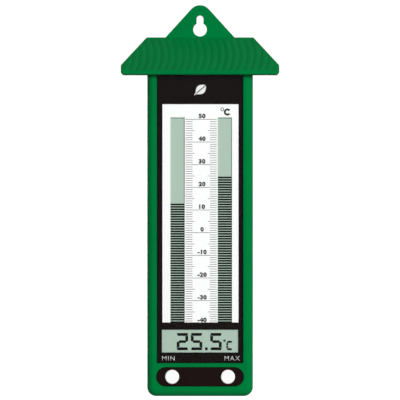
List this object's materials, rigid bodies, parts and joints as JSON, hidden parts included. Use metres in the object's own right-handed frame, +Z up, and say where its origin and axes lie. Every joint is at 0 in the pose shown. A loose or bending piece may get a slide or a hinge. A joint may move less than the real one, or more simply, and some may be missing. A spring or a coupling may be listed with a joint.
{
  "type": "greenhouse thermometer",
  "caption": "Wall-hung digital minimum and maximum thermometer with a pitched roof, a hanging tab, a tall bar-graph display, a read-out and push buttons.",
  "frame": {"origin": "centre of the keyhole's round hole, on the flat back that lies against the wall", "axes": "+X right, seen from the front; +Y into the wall; +Z up; the display faces -Y"},
  "size_m": [0.095, 0.029, 0.235],
  "materials": {
    "green_plastic": "moulded, fine grain",
    "black_film": "printed film, semi-gloss",
    "black_plastic": "moulded, satin",
    "clear_window": "clear moulded acrylic, gloss",
    "white_card": "printed card",
    "lcd_film": "polarising film",
    "lcd_glass": "display glass",
    "reflector_foil": "satin foil",
    "white_plastic": "moulded, satin",
    "silicone": "soft",
    "board_laminate": "laminate",
    "black_resin": "epoxy",
    "component_ceramic": "ceramic and metal cans",
    "battery_jacket": "printed label",
    "plated_steel": "nickel plated",
    "red_insulation": "soft",
    "black_insulation": "soft"
  },
  "bodies": {
    "housing": {"front_case": "green_plastic", "rear_case": "green_plastic", "roof_hood": "green_plastic", "fascia_panel": "black_film", "button_bezel": "black_plastic", "window_lens": "clear_window", "scale_card": "white_card", "lcd_front_polariser": "lcd_film", "lcd_front_glass": "lcd_glass", "lcd_rear_glass": "lcd_glass", "lcd_reflector": "reflector_foil", "lcd_holder": "white_plastic", "zebra_connector": "silicone", "circuit_board": "board_laminate", "chip_blob": "black_resin", "board_components": "component_ceramic", "thermistor": "black_resin", "mini_dome": "silicone", "maxi_dome": "silicone", "battery": "battery_jacket", "positive_contact": "plated_steel", "negative_contact": "plated_steel", "red_wire": "red_insulation", "black_wire": "black_insulation", "case_screws": "plated_steel", "roof_screws": "plated_steel", "holder_screws": "plated_steel", "board_screws": "plated_steel"},
    "mini_key": {"mini_button": "white_plastic"},
    "maxi_key": {"maxi_button": "white_plastic"},
    "door": {"battery_door": "green_plastic"}
  },
  "joints": [
    {"name": "mini_press", "type": "slide", "parent": "housing", "child": "mini_key", "axis": [0, 1, 0], "range_m": [0, 0.0011], "stiffness_N_per_m": 500, "springref_m": -0.0005, "deforming": ["mini_dome"]},
    {"name": "maxi_press", "type": "slide", "parent": "housing", "child": "maxi_key", "axis": [0, 1, 0], "range_m": [0, 0.0011], "stiffness_N_per_m": 500, "springref_m": -0.0005, "deforming": ["maxi_dome"]},
    {"name": "battery_door_hinge", "type": "hinge", "parent": "housing", "child": "door", "pos_m": [0, -0.0015, -0.1344], "axis": [1, 0, 0], "range_deg": [0, 95]}
  ]
}
